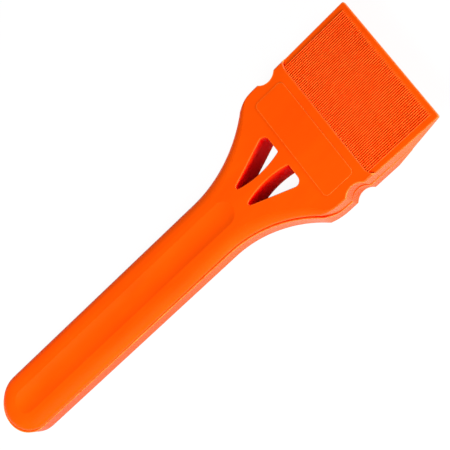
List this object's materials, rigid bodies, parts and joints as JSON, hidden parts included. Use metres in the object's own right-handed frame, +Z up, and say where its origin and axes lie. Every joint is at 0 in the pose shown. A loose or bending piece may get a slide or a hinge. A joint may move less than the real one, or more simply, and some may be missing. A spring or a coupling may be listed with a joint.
{
  "type": "glazing lever",
  "caption": "One-piece plastic glazing lever: flat straight grip with a shallow thumb groove, pierced neck, and a broad block head that narrows to a ribbed wedge lip.",
  "frame": {"origin": "on the flat underside, below the middle of the bounding box", "axes": "+X along the tool towards the thin lip, +Y across the head, +Z up through the ribbed face"},
  "size_m": [0.2214, 0.0604, 0.0132],
  "materials": {
    "orange_plastic": "satin, fine moulded surface, even orange all through"
  },
  "bodies": {
    "root": {"moulded_body": "orange_plastic"}
  },
  "joints": []
}
